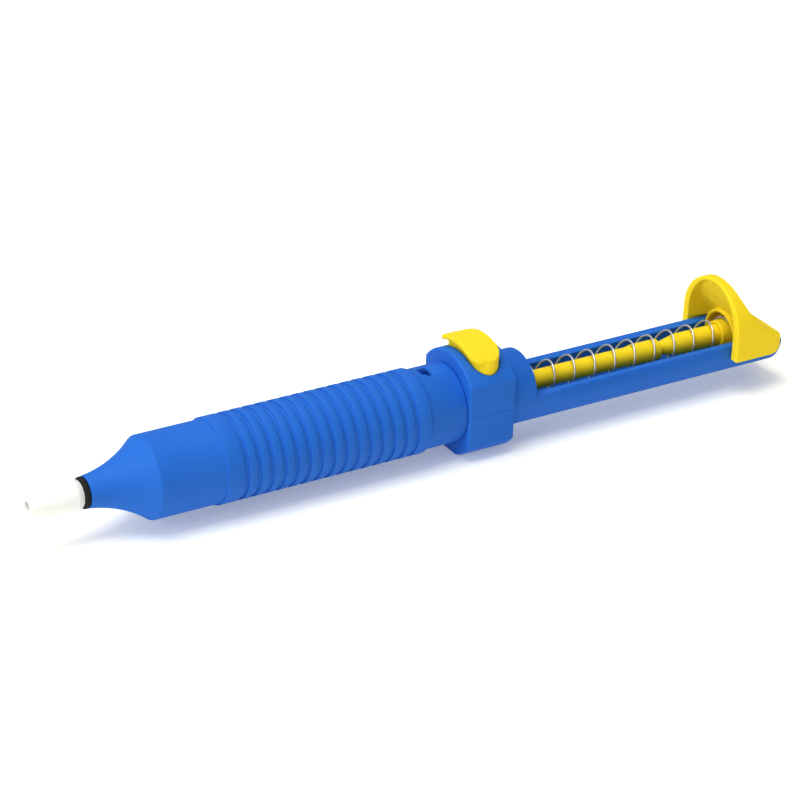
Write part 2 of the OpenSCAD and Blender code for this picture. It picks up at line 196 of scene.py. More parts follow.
class PumpFinishes(bpy.types.PropertyGroup):
    blue: colour("Blue", (0.0005, 0.145, 0.44, 1.0), "Moulded blue plastic")
    yellow: colour("Yellow", (0.98, 0.57, 0.002, 1.0), "Moulded yellow plastic")
    white: colour("White", (0.76, 0.76, 0.75, 1.0), "White fluoropolymer")
    rubber: colour("Rubber", (0.006, 0.006, 0.0065, 1.0), "Black rubber")
    steel: colour("Steel", (0.66, 0.64, 0.61, 1.0), "Bright spring wire")


class PumpStudio(bpy.types.PropertyGroup):
    azimuth: angle("Azimuth", -32.124, "Direction that the camera looks from")
    elevation: angle("Elevation", 27.573, "Height of the camera above the horizon")
    roll: angle("Roll", 2.253, "Tilt of the camera about its own axis")
    distance: size("Distance", 838.36, "From the camera to the point it aims at")
    aim: bpy.props.FloatVectorProperty(
        name="Aim", description="Point that the camera aims at",
        default=(2.92 * MM, 12.71 * MM, 9.43 * MM), subtype="XYZ", unit="LENGTH", precision=5)
    lens: bpy.props.FloatProperty(
        name="Lens", description="Focal length in millimetres", default=144.13, min=10.0)


GROUPS = {
    "pump_barrel": PumpBarrelSizes,
    "pump_nozzle": PumpNozzleSizes,
    "pump_housing": PumpHousingSizes,
    "pump_trigger": PumpTriggerSizes,
    "pump_knob": PumpKnobSizes,
    "pump_spring": PumpSpringSizes,
    "pump_finish": PumpFinishes,
    "pump_studio": PumpStudio,
}


# ---- outlines -----------------------------------------------------------------------------


def arc(centre, radius, start, end, steps):
    """Points of an arc in the plane, counted from the second axis towards the first."""
    return [
        (
            centre[0] + radius * math.sin(start + (end - start) * i / steps),
            centre[1] + radius * math.cos(start + (end - start) * i / steps),
        )
        for i in range(steps + 1)
    ]


def rounded(corners, steps=4):
    """A closed outline of (a, b, radius) corners, with each corner turned into an arc."""
    out = []
    for i, (a, b, radius) in enumerate(corners):
        p = Vector((a, b))
        before = Vector(corners[i - 1][:2]) - p
        after = Vector(corners[(i + 1) % len(corners)][:2]) - p
        turn = before.angle(after, math.pi)
        if radius <= 0 or turn > math.radians(175):
            out.append((a, b))
            continue
        reach = min(radius / math.tan(turn / 2), 0.48 * before.length, 0.48 * after.length)
        radius = reach * math.tan(turn / 2)
        middle = (before.normalized() + after.normalized()).normalized()
        centre = p + middle * (radius / math.sin(turn / 2))
        first = p + before.normalized() * reach - centre
        last = p + after.normalized() * reach - centre
        span = math.pi - turn
        for k in range(steps + 1):
            t = k / steps
            swing = (
                math.sin((1 - t) * span) * first + math.sin(t * span) * last
            ) / math.sin(span)
            out.append(tuple(centre + swing))
    return out


def hollow_arc(a, b, radius, steps):
    """Points from a to b on an arc whose middle sags towards smaller second values."""
    a, b = Vector(a), Vector(b)
    d = b - a
    back = math.sqrt(radius * radius - d.length_squared / 4)
    centre = (a + b) / 2 + Vector((-d.y, d.x)).normalized() * back
    start = math.atan2(a.y - centre.y, a.x - centre.x)
    end = math.atan2(b.y - centre.y, b.x - centre.x)
    return [
        (
            centre.x + radius * math.cos(start + (end - start) * i / steps),
            centre.y + radius * math.sin(start + (end - start) * i / steps),
        )
        for i in range(steps + 1)
    ]


# ---- meshes -------------------------------------------------------------------------------


def mesh_object(name, verts, faces):
    mesh = bpy.data.meshes.new(name)
    mesh.from_pydata(verts, [], faces)
    bm = bmesh.new()
    bm.from_mesh(mesh)
    bmesh.ops.remove_doubles(bm, verts=bm.verts, dist=1e-7)
    bmesh.ops.dissolve_degenerate(bm, edges=bm.edges, dist=1e-7)
    bmesh.ops.recalc_face_normals(bm, faces=bm.faces)
    bm.to_mesh(mesh)
    bm.free()
    obj = bpy.data.objects.new(name, mesh)
    bpy.context.scene.collection.objects.link(obj)
    return obj


def skin(name, rings, joined=False):
    """A closed skin over rings that all have the same count of points.

    The last ring joins the first if joined; otherwise both ends are capped.
    """
    count = len(rings[0])
    verts = [p for ring in rings for p in ring]
    faces = []
    for i in range(len(rings) - (0 if joined else 1)):
        low, high = i * count, (i + 1) % len(rings) * count
        for k in range(count):
            n = (k + 1) % count
            faces.append((low + k, low + n, high + n, high + k))
    if not joined:
        faces.append(tuple(range(count)))
        faces.append(tuple(reversed(range(len(verts) - count, len(verts)))))
    return mesh_object(name, verts, faces)


def about_axis(x, radius, turn):
    return (x, -radius * math.sin(turn), AXIS_Z + radius * math.cos(turn))


def lathe(name, outline, steps=128, start=0.0, sweep=2 * math.pi):
    """Turns a closed outline of (x, radius) points about the tool's axis."""
    full = sweep > 2 * math.pi - 1e-6
    count = steps if full else steps + 1
    rings = [
        [about_axis(x, r, start + sweep * i / steps) for x, r in outline]
        for i in range(count)
    ]
    return skin(name, rings, joined=full)


def rod_like(name, x0, x1, radius, steps=96):
    """A plain round solid along the axis, used to add to or cut from others."""
    return lathe(name, [(x0, 0.0), (x0, radius), (x1, radius), (x1, 0.0)], steps)


def prism(name, outline, x0, x1):
    """Extrudes an outline of (y, height above the axis) points along X."""
    return skin(name, [[(x, y, AXIS_Z + z) for y, z in outline] for x in (x0, x1)])


def rimmed(name, section, x0, x1, front, rear, steps=5):
    """A prism whose end edges are rounded; section(inset) gives its outline."""
    rings = []
    for i in range(steps + 1):
        t = math.pi / 2 * i / steps
        rings.append((x0 + front * (1 - math.cos(t)), front * (1 - math.sin(t))))
    for i in range(steps, -1, -1):
        t = math.pi / 2 * i / steps
        rings.append((x1 - rear * (1 - math.cos(t)), rear * (1 - math.sin(t))))
    return skin(name, [[(x, y, AXIS_Z + z) for y, z in section(inset)] for x, inset in rings])


def column(name, outline, z0, z1):
    """Extrudes an outline of (x, y) points upwards, with heights above the axis."""
    return skin(name, [[(x, y, AXIS_Z + z) for x, y in outline] for z in (z0, z1)])


def box(name, low, high):
    """A block used as a cutter, with heights above the axis."""
    outline = [(low[1], low[2]), (high[1], low[2]), (high[1], high[2]), (low[1], high[2])]
    return prism(name, outline, low[0], high[0])


def settle(obj):
    """Applies every modifier of a mesh object."""
    bpy.context.view_layer.update()
    evaluated = obj.evaluated_get(bpy.context.evaluated_depsgraph_get())
    made = bpy.data.meshes.new_from_object(evaluated)
    old = obj.data
    obj.modifiers.clear()
    obj.data = made
    made.name = obj.name
    bpy.data.meshes.remove(old)


def combine(obj, *tools, operation="DIFFERENCE"):
    """Cuts tools from obj, or joins them to it, and removes them."""
    for tool in tools:
        modifier = obj.modifiers.new(tool.name, "BOOLEAN")
        modifier.operation = operation
        modifier.object = tool
        modifier.solver = "EXACT"
        settle(obj)
        if not obj.data.polygons:
            raise RuntimeError(f"{obj.name} is empty after {tool.name}")
        data = tool.data
        bpy.data.objects.remove(tool)
        bpy.data.meshes.remove(data)
    return obj


def soften(obj, width, segments=2, limit=50):
    """Rounds the edges that are sharper than limit, in degrees."""
    modifier = obj.modifiers.new("soften", "BEVEL")
    modifier.width = width
    modifier.segments = segments
    modifier.limit_method = "ANGLE"
    modifier.angle_limit = math.radians(limit)
    modifier.use_clamp_overlap = True
    settle(obj)
    return obj


def melt(obj, voxel, rounds):
    """Remeshes evenly and relaxes the surface, which rounds every edge as moulding does."""
    remesh = obj.modifiers.new("even", "REMESH")
    remesh.mode = "VOXEL"
    remesh.voxel_size = voxel
    relax = obj.modifiers.new("relax", "SMOOTH")
    relax.factor = 0.5
    relax.iterations = rounds
    settle(obj)
    return obj


def coil(name, height, turns, radius, wire, place, start=0.0, per_turn=40, sides=10):
    """Sweeps round wire along a helix. height(turns so far) is along the coil, and place
    puts (along, across, across) points into the part's frame."""
    steps = int(turns * per_turn)
    cut_end = 0.72

    def centre(i):
        a = start + 2 * math.pi * turns * i / steps
        return Vector((height(turns * i / steps), -radius * math.sin(a), radius * math.cos(a)))

    rings = []
    for i in range(steps + 1):
        here = centre(i)
        along = (centre(min(i + 1, steps)) - centre(max(i - 1, 0))).normalized()
        out = Vector((0.0, here.y, here.z)).normalized()
        side = along.cross(out).normalized()
        out = side.cross(along)
        share = cut_end if i in (0, steps) else 1.0
        rings.append([
            place(here + share * wire / 2 * (
                math.cos(2 * math.pi * s / sides) * out
                + math.sin(2 * math.pi * s / sides) * side))
            for s in range(sides)
        ])
    return skin(name, rings)


# ---- materials ----------------------------------------------------------------------------


class Finish:
    """A node material under way, with short calls for its usual nodes."""

    def __init__(self, name):
        self.material = bpy.data.materials.new(name)
        self.material.use_nodes = True
        self.tree = self.material.node_tree
        self.shader = self.tree.nodes["Principled BSDF"]
        self.where = self.tree.nodes.new("ShaderNodeTexCoord").outputs["Object"]

    def link(self, source, target):
        self.tree.links.new(source, target)

    def stretched(self, scale):
        node = self.tree.nodes.new("ShaderNodeMapping")
        node.inputs["Scale"].default_value = scale
        self.link(self.where, node.inputs["Vector"])
        return node.outputs["Vector"]

    def noise(self, scale, detail=3.0, roughness=0.5, where=None):
        node = self.tree.nodes.new("ShaderNodeTexNoise")
        node.inputs["Scale"].default_value = scale
        node.inputs["Detail"].default_value = detail
        node.inputs["Roughness"].default_value = roughness
        self.link(where or self.where, node.inputs["Vector"])
        return node.outputs["Fac"]

    def ranged(self, value, low, high, start=0.35, end=0.65):
        node = self.tree.nodes.new("ShaderNodeMapRange")
        node.inputs["From Min"].default_value = start
        node.inputs["From Max"].default_value = end
        node.inputs["To Min"].default_value = low
        node.inputs["To Max"].default_value = high
        self.link(value, node.inputs["Value"])
        return node.outputs["Result"]

    def mix(self, share, a, b):
        node = self.tree.nodes.new("ShaderNodeMix")
        node.data_type = "RGBA"
        self.link(share, node.inputs["Factor"])
        for value, socket in ((a, node.inputs["A"]), (b, node.inputs["B"])):
            if isinstance(value, bpy.types.NodeSocket):
                self.link(value, socket)
            else:
                socket.default_value = value
        return node.outputs["Result"]

    def bump(self, height, distance, under=None):
        node = self.tree.nodes.new("ShaderNodeBump")
        node.inputs["Distance"].default_value = distance
        self.link(height, node.inputs["Height"])
        if under is not None:
            self.link(under, node.inputs["Normal"])
        return node.outputs["Normal"]

    def set(self, **values):
        for name, value in values.items():
            socket = self.shader.inputs[name.replace("_", " ").title().replace("Ior", "IOR")]
            if isinstance(value, bpy.types.NodeSocket):
                self.link(value, socket)
            else:
                socket.default_value = value
        return self.material


def scaled(value, share):
    """A colour with its brightness multiplied."""
    return (*(min(1.0, c * share) for c in value[:3]), 1.0)


def moulded_plastic(name, base, subsurface, radius):
    """Satin injection-moulded plastic: cloudy pigment, flow streaks and a fine mould grain."""
    f = Finish(name)
    cloud = f.ranged(f.noise(90, detail=4), 0.0, 1.0)
    streak = f.ranged(f.noise(1.0, detail=3, where=f.stretched((40, 420, 420))), 0.0, 1.0)
    pigment = f.mix(cloud, scaled(base, 0.93), scaled(base, 1.06))
    tinted = f.mix(f.ranged(streak, 0.0, 0.35, 0.0, 1.0), pigment, scaled(base, 0.9))
    grain = f.noise(5200, detail=2)
    scuff = f.ranged(f.noise(240, detail=5, roughness=0.65), 0.33, 0.45)
    orange_peel = f.bump(f.noise(420, detail=2), 0.012 * MM)
    skin_normal = f.bump(grain, 0.008 * MM, under=orange_peel)
    material = f.set(base_color=tinted, roughness=scuff, normal=skin_normal,
                     subsurface_weight=subsurface, subsurface_scale=4 * MM)
    f.shader.inputs["Subsurface Radius"].default_value = radius
    f.shader.inputs["Specular IOR Level"].default_value = 0.04
    return material


def white_fluoropolymer(name, base):
    """Waxy, faintly clouded and slightly see-through."""
    f = Finish(name)
    cloud = f.ranged(f.noise(260, detail=4), 0.0, 1.0)
    lathe_lines = f.noise(1.0, detail=2, where=f.stretched((5200, 60, 60)))
    material = f.set(
        base_color=f.mix(cloud, scaled(base, 0.97), scaled(base, 1.04)),
        roughness=f.ranged(f.noise(600, detail=3), 0.3, 0.42),
        normal=f.bump(lathe_lines, 0.006 * MM),
        subsurface_weight=0.35, subsurface_scale=1.5 * MM)
    f.shader.inputs["Subsurface Radius"].default_value = (1.0, 0.95, 0.9)
    return material


def black_rubber(name, base):
    f = Finish(name)
    bloom = f.ranged(f.noise(900, detail=4), 0.0, 1.0)
    return f.set(
        base_color=f.mix(bloom, base, scaled(base, 2.6)),
        roughness=f.ranged(f.noise(1800, detail=3), 0.22, 0.38),
        normal=f.bump(f.noise(3600, detail=3), 0.02 * MM))


def spring_steel(name, base):
    """Drawn wire with fine die lines and a little variation in its polish."""
    f = Finish(name)
    lines = f.noise(1.0, detail=3, where=f.stretched((700, 5200, 5200)))
    tone = f.ranged(f.noise(300, detail=3), 0.0, 1.0)
    return f.set(
        base_color=f.mix(tone, scaled(base, 0.86), base), metallic=1.0,
        roughness=f.ranged(f.noise(1400, detail=3), 0.14, 0.3),
        normal=f.bump(lines, 0.004 * MM))


def finishes():
    """The object's materials by record slot, made on first use."""
    made = bpy.data.materials
    if "blue_plastic" not in made:
        look = bpy.context.scene.pump_finish
        moulded_plastic("blue_plastic", look.blue, 0.0, (0.2, 0.5, 1.0))
        moulded_plastic("yellow_plastic", look.yellow, 1.0, (1.0, 0.62, 0.08))
        white_fluoropolymer("white_fluoropolymer", look.white)
        black_rubber("black_rubber", look.rubber)
        spring_steel("spring_steel", look.steel)
    return made


def finish_piece(obj, body, slot, *nodes, smooth=32):
    """Gives a piece its shading, finish and body, and hides the CAD nodes it stands for."""
    obj.data.materials.clear()
    obj.data.materials.append(finishes()[slot])
    obj.data.shade_smooth()
    obj.data.set_sharp_from_angle(angle=math.radians(smooth))
    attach(obj, body)
    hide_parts(*nodes)
    return obj


# ---- operators ----------------------------------------------------------------------------


class PumpOperator(bpy.types.Operator):
    """Shared by the operators that build the pump's pieces"""

    bl_idname = "pump.piece"
    bl_label = "Piece"
    bl_options = {"REGISTER", "UNDO"}

    def build(self, scene):
        raise NotImplementedError

    def execute(self, context):
        self.build(context.scene)
        return {"FINISHED"}


class PUMP_OT_barrel(PumpOperator):
    """Turns the barrel with its flared nose, grip bands and bayonet windows"""

    bl_idname = "pump.barrel"
    bl_label = "Barrel"

    def build(self, scene):
        s = scene.pump_barrel
        flare_x = BARREL_X + s.nose_len
        grip_x = flare_x + s.smooth_len
        groove_r = GRIP_R - s.groove_depth
        seat_r, step_r = 3.2 * MM, 2.3 * MM
        flare = hollow_arc(
            (BARREL_X + 0.2 * MM, s.nose_tip_r + 0.1 * MM), (flare_x, s.nose_r), s.flare_r, 26)
        shoulder = [
            (flare[-4][0], flare[-4][1], 0), (flare_x, s.nose_r, s.flare_soft),
            (flare_x + 5 * MM, s.nose_r, 0)]
        corners = [(BARREL_X, s.nose_tip_r, 0)]
        corners += [(x, r, 0) for x, r in flare[:-4]]
        corners += shoulder
        corners += [(grip_x, s.nose_r, CREASE), (grip_x, GRIP_R, 0.22 * MM)]
        x = grip_x + s.first_band
        for _ in range(s.bands + 1):
            corners += [(x, GRIP_R, 0.3 * MM), (x, groove_r, CREASE)]
            x += s.groove
            corners += [(x, groove_r, CREASE), (x, GRIP_R, 0.2 * MM)]
            x += s.band
        corners += [(TAIL_X, GRIP_R, 0.45 * MM), (TAIL_X, s.tail_r, CREASE)]
        corners += [(BARREL_END_X, s.tail_r, 0.35 * MM), (BARREL_END_X, s.bore_r, 0.3 * MM)]
        corners += [
            (SHANK_END_X + 8.5 * MM, s.bore_r, 1 * MM),
            (SHANK_END_X + 1.5 * MM, step_r, 0.3 * MM),
            (SHANK_END_X, step_r, 0), (SHANK_END_X, seat_r, 0), (BARREL_X, seat_r, 0)]
        barrel = lathe("barrel_body", rounded(corners, 3), 128)
        window_x, window_len = TAIL_X + 2.3 * MM, 2.5 * MM
        keyway_x, keyway_r = window_x + 1.25 * MM, 9.85 * MM
        under = s.bore_r - MM
        for side in (0.0, math.pi):
            window = [
                (window_x, under), (window_x, GRIP_R + MM),
                (window_x + window_len, GRIP_R + MM), (window_x + window_len, under)]
            keyway = [
                (keyway_x, under), (keyway_x, keyway_r),
                (BARREL_END_X + MM, keyway_r), (BARREL_END_X + MM, under)]
            combine(
                barrel,
                lathe("window", window, 12, side + math.radians(-9), math.radians(22.5)),
                lathe("keyway", keyway, 8, side + math.radians(-8.8), math.radians(12)))
        soften(barrel, 0.14 * MM, 2, 55)
        finish_piece(barrel, "barrel", "blue_plastic", "barrel")


class PUMP_OT_nozzle(PumpOperator):
    """Turns the white nozzle and rolls its black seal ring"""

    bl_idname = "pump.nozzle"
    bl_label = "Nozzle and Seal"

    def build(self, scene):
        s = scene.pump_nozzle
        ring_x = BARREL_X - s.ring_t
        bulge_x = ring_x - 2.3 * MM
        shank_r, shank_bore_r = 3.15 * MM, 2.3 * MM
        fullness = 0.14
        sides = [
            (TIP_X + t * (bulge_x - TIP_X),
             s.tip_r + (s.bulge_r - s.tip_r) * (t + fullness * math.sin(math.pi * t)), 0)
            for t in (0.15, 0.3, 0.45, 0.6, 0.75, 0.9)]
        corners = [
            (TIP_X, s.bore_r, 0.2 * MM), (TIP_X, s.tip_r, 0.75 * MM), *sides,
            (bulge_x + 0.6 * MM, s.bulge_r, 1.5 * MM), (ring_x, s.bulge_r - 0.75 * MM, 0.5 * MM),
            (ring_x, s.neck_r, 0.1 * MM), (BARREL_X, s.neck_r, 0), (BARREL_X, shank_r, 0),
            (SHANK_END_X, shank_r, 0.4 * MM), (SHANK_END_X, shank_bore_r, 0.1 * MM),
            (ring_x, shank_bore_r, 0.5 * MM), (ring_x - 3 * MM, s.bore_r, 0.5 * MM)]
        nozzle = lathe("nozzle_body", rounded(corners, 6), 96)
        finish_piece(nozzle, "barrel", "white_fluoropolymer", "nozzle", smooth=50)
        half_t = s.ring_t / 2
        section = arc((ring_x + half_t, s.neck_r + half_t), half_t, 0, 2 * math.pi, 28)[:-1]
        ring = lathe("nozzle_seal", section, 96)
        finish_piece(ring, "barrel", "black_rubber", "nozzle_seal_ring")


class PUMP_OT_housing(PumpOperator):
    """Builds the collar, shoulder, rail channel and bayonet sleeve"""

    bl_idname = "pump.housing"
    bl_label = "Rear Housing"

    def collar_section(self, s, inset):
        """The collar's outline in (y, height): round top, flat foot and flat sides, each with
        a mould line along it."""
        r, w, d = s.collar_r - inset, s.collar_half_w - inset, AXIS_Z - FOOT_Z - inset
        q = max(s.collar_corner - inset, 0.05 * MM)
        foot_q = max(1.2 * MM - inset, 0.05 * MM)
        # Where each flat side ends, seen from the axis, and where the foot starts
        turn = math.asin((w - q) / (r - q))
        high = (r - q) * math.cos(turn)
        foot_turn = math.pi - math.acos((d - foot_q) / (r - foot_q))
        foot_y = (r - foot_q) * math.sin(foot_turn)
        line = 0.07 * MM
        half = arc((0, 0), r, 0, turn, 14)[:-1]
        half += arc((w - q, high), q, turn, math.pi / 2, 5)
        half += [(w, line), (w - line, 0.0), (w, -line)]
        half += arc((w - q, -high), q, math.pi / 2, math.pi - turn, 5)[:-1]
        half += arc((0, 0), r, math.pi - turn, foot_turn, 8)[:-1]
        half += arc((foot_y, foot_q - d), foot_q, foot_turn, math.pi, 4)
        return [(-y, z) for y, z in half] + [(y, z) for y, z in reversed(half[1:])]

    def rail_top(self, s, depth, width):
        """One rail's top from outside to inside, and where its outer arc ends."""
        outer, inner = s.rail_r, s.rail_r - s.rail_wall
        lean = math.acos((s.rail_top - depth) / outer)
        top = math.acos(s.rail_top / inner)
        corners = [
            (outer * math.sin(lean), outer * math.cos(lean), 0),
            (outer * math.sin(math.acos(s.rail_top / outer)) - width, s.rail_top, 0.35 * MM),
            (inner * math.sin(top), s.rail_top, 0.25 * MM),
            (inner * math.sin(top + 0.1), inner * math.cos(top + 0.1), 0)]
        return rounded(corners, 3)[1:-1], lean

    def rail_section(self, s, depth, width):
        """The channel as half a tube with flat tops and a chamfer along its right rail."""
        left, left_lean = self.rail_top(s, *PLAIN_EDGE)
        right, right_lean = self.rail_top(s, depth, width)
        inner = s.rail_r - s.rail_wall
        top = math.acos(s.rail_top / inner) + 0.1
        section = arc((0, 0), s.rail_r, -right_lean, left_lean - 2 * math.pi, 44)
        section += left + arc((0, 0), inner, top, 2 * math.pi - top, 36)
        return section + [(-y, z) for y, z in reversed(right)]

    def slot_plan(self, s):
        """The trigger's slot seen from above."""
        r = s.slot_w / 2
        outline = arc((BLADE_X, s.slot_left - r), r, -math.pi / 2, math.pi / 2, 24)
        outline += arc((BLADE_X, r - s.slot_right), r, math.pi / 2, 3 * math.pi / 2, 24)
        return outline

    def build(self, scene):
        s = scene.pump_housing
        collar_end = COLLAR_X + s.collar_len
        shoulder_end = collar_end + s.shoulder_len
        housing = rimmed(
            "rear_housing_body", lambda inset: self.collar_section(s, inset),
            COLLAR_X, collar_end, s.collar_rim, s.collar_rim * 0.8)
        inner = s.rail_r - s.rail_wall
        shoulder = lathe("shoulder", rounded([
            (collar_end - 1.5 * MM, inner, 0), (collar_end - 1.5 * MM, s.rail_r, 0),
            (shoulder_end, s.rail_r, 0.4 * MM), (shoulder_end, inner, 0.3 * MM)], 4))
        step_x = shoulder_end + 6.5 * MM
        plain = self.rail_section(s, *PLAIN_EDGE)
        cut = self.rail_section(s, s.near_chamfer, s.chamfer_w)
        rails = skin("rails", [
            [(x, y, AXIS_Z + z) for y, z in section]
            for x, section in (
                (shoulder_end - 1.2 * MM, plain), (step_x, plain), (step_x + 1.6 * MM, cut),
                (RAIL_END_X, cut))])
        sleeve_in = s.sleeve_r - s.sleeve_wall
        sleeve = lathe("sleeve", rounded([
            (SLEEVE_X, sleeve_in, 0.2 * MM), (SLEEVE_X, s.sleeve_r, 0.3 * MM),
            (COLLAR_X + 1.5 * MM, s.sleeve_r, 0), (COLLAR_X + 1.5 * MM, sleeve_in, 0)], 3))
        lug_x, lug_len = TAIL_X + 2.5 * MM, 1.6 * MM
        root_r, lug_r = s.sleeve_r - 0.5 * MM, s.sleeve_r + 0.75 * MM
        lugs = [
            lathe("lug", [
                (lug_x, root_r), (lug_x, lug_r), (lug_x + lug_len, lug_r),
                (lug_x + lug_len, root_r)],
                8, side + math.radians(2), math.radians(11))
            for side in (0.0, math.pi)]
        combine(housing, shoulder, rails, sleeve, *lugs, operation="UNION")
        t = scene.pump_trigger
        well_w, well_depth = 7.5 * MM, 10.6 * MM
        combine(
            housing,
            rod_like("guide", SLEEVE_X - MM, collar_end + MM, s.guide_r),
            rod_like("sleeve_bore", SLEEVE_X - MM, COLLAR_X, sleeve_in),
            column("slot", self.slot_plan(t), 0.0, s.collar_r + MM),
            box("well", (BLADE_X - t.slot_w / 2 + 0.2 * MM, -well_w, -well_depth),
                (BLADE_X + t.slot_w / 2 - 0.2 * MM, well_w, MM)))
        soften(housing, 0.2 * MM, 3, 50)
        finish_piece(housing, "housing", "blue_plastic", "rear_housing")


class PUMP_OT_plunger(PumpOperator):
    """Turns the plunger's rod with its latch notch"""

    bl_idname = "pump.plunger"
    bl_label = "Plunger Rod"

    def build(self, scene):
        slim_r, waist_r = 2.55 * MM, 1.8 * MM
        notch_x = BLADE_X + 59.2 * MM
        cone_x = notch_x + MM
        rod = lathe("plunger_rod_body", rounded([
            (ROD_X, 0.0, 0), (ROD_X, slim_r, 0), (notch_x - 9.4 * MM, slim_r, 1 * MM),
            (notch_x - 7.7 * MM, ROD_R, 1 * MM), (notch_x, ROD_R, 0.25 * MM),
            (notch_x, waist_r, 0.2 * MM), (cone_x, waist_r, 0.5 * MM),
            (cone_x + 5.2 * MM, ROD_R, 0.8 * MM), (ROD_END_X, ROD_R, 0.3 * MM),
            (ROD_END_X, 0.0, 0)], 5), 96)
        finish_piece(rod, "plunger", "yellow_plastic", "plunger_rod")


class PUMP_OT_knob(PumpOperator):
    """Builds the thumb knob with its dish, saddle, spring pocket and rail slots"""

    bl_idname = "pump.knob"
    bl_label = "Thumb Knob"

    def arch_section(self, s, inset):
        w = s.half_w - inset
        skirt = inset - s.skirt
        return arc((0, s.arch_z), w, -math.pi / 2, math.pi / 2, 72) + [(w, skirt), (-w, skirt)]

    def dish_section(self, s, taper):
        """The dish's outline, open at the bottom, with walls thicker than its top rim."""
        across, up = s.half_w - s.wall_t - taper, s.half_w - s.dish_rim - taper
        outline = [(across * y, s.arch_z + up * z) for y, z in arc(
            (0, 0), 1.0, -math.pi / 2, math.pi / 2, 72)]
        return outline + [(across, -8 * MM), (-across, -8 * MM)]

    def slab(self, name, outline, s):
        """A cutter wider than the knob, from an outline of (x, height above the axis)."""
        return skin(name, [
            [(x, y, AXIS_Z + z) for x, z in outline] for y in (-2 * s.half_w, 2 * s.half_w)])

    def build(self, scene):
        s = scene.pump_knob
        h = scene.pump_housing
        knob = rimmed(
            "thumb_knob_body", lambda inset: self.arch_section(s, inset),
            KNOB_X, KNOB_END_X, s.front_rim, 0.0)
        dish = skin("dish", [
            [(x, y, AXIS_Z + z) for y, z in self.dish_section(s, taper)]
            for x, taper in (
                (KNOB_X - MM, 0.0), (KNOB_X, 0.0), (KNOB_X + 0.4 * s.dish_depth, 0.3 * MM),
                (KNOB_X + 1.2 * s.dish_depth, 1.4 * MM))])
        # Share of the dish's depth at each height above the axis, in millimetres
        depths = ((1.0, 2.5), (0.8, 5), (0.52, 8), (0.3, 11.5), (0.18, 14.6), (0.12, 17))
        front, below = KNOB_X - 2 * MM, -9 * MM
        floor = [(front, below), (KNOB_X + s.dish_depth, below)]
        floor += [(KNOB_X + share * s.dish_depth, z * MM) for share, z in depths]
        floor += [(front, depths[-1][1] * MM)]
        combine(dish, self.slab("dish_floor", floor, s), operation="INTERSECT")
        # The saddle is an arc from the top of the plate to the lip at the back
        top = Vector((KNOB_X + s.plate_t, s.arch_z + s.half_w))
        lip = Vector((KNOB_END_X - 1.1 * MM, 3.8 * MM))
        chord = lip - top
        back = math.sqrt(s.saddle_r ** 2 - chord.length_squared / 4)
        saddle_x, saddle_z = (top + lip) / 2 + Vector((-chord.y, chord.x)).normalized() * back
        saddle = arc((saddle_x, saddle_z), s.saddle_r, 0, 2 * math.pi, 180)[:-1]
        past = KNOB_END_X + 2 * MM
        tail_q, skirt_q = 2.2 * MM, 2.5 * MM
        tail_x, skirt_x = KNOB_END_X - tail_q, KNOB_END_X - skirt_q
        tail_z = saddle_z - math.sqrt(s.saddle_r ** 2 - (saddle_x - tail_x) ** 2)
        tail = arc((tail_x, tail_z - tail_q), tail_q, 0, math.pi / 2, 10)
        tail += [(past, tail_z - tail_q), (past, tail_z + 9 * MM), (tail_x, tail_z + 9 * MM)]
        skirt = arc((skirt_x, skirt_q - s.skirt), skirt_q, math.pi / 2, math.pi, 10)
        skirt += [(skirt_x, -s.skirt - 2 * MM), (past, -s.skirt - 2 * MM),
                  (past, skirt_q - s.skirt)]
        outlines = (("saddle", saddle), ("tail", tail), ("skirt", skirt))
        combine(knob, dish, *(self.slab(name, outline, s) for name, outline in outlines))
        wide = 2 * s.half_w
        slot_r = h.rail_r + SLIDE_GAP
        slider_r = h.rail_r - h.rail_wall - SLIDE_GAP
        slider_x, slider_end_x = KNOB_X + 4.6 * MM, KNOB_X + 13.2 * MM
        slider = rod_like("slider", slider_x, slider_end_x, slider_r)
        combine(slider, box("half", (KNOB_X, -slot_r, 0), (KNOB_END_X + MM, slot_r, slot_r)))
        pocket_rim = rod_like(
            "pocket_rim", KNOB_X + s.pocket_setback, KNOB_X + s.dish_depth + MM, slider_r)
        pocket = rod_like("pocket", KNOB_X - 2 * MM, KNOB_X + s.pocket_depth, s.pocket_r)
        hub = rod_like("hub", KNOB_X + s.hub_setback, ROD_END_X, s.hub_r)
        room = lathe("room", [
            (KNOB_X - MM, slider_r), (KNOB_X - MM, slot_r),
            (KNOB_END_X + MM, slot_r), (KNOB_END_X + MM, slider_r)])
        combine(room, box("above", (KNOB_X - 2 * MM, -wide, h.rail_top + SLIDE_GAP),
                          (KNOB_END_X + 2 * MM, wide, wide)))
        combine(knob, room)
        combine(knob, slider, pocket_rim, operation="UNION")
        combine(knob, pocket)
        combine(knob, hub, operation="UNION")
        combine(knob, rod_like("rod_hole", KNOB_X - 2 * MM, ROD_END_X, ROD_R))
        melt(knob, 0.2 * MM, 7)
        finish_piece(knob, "plunger", "yellow_plastic", "thumb_knob", smooth=70)


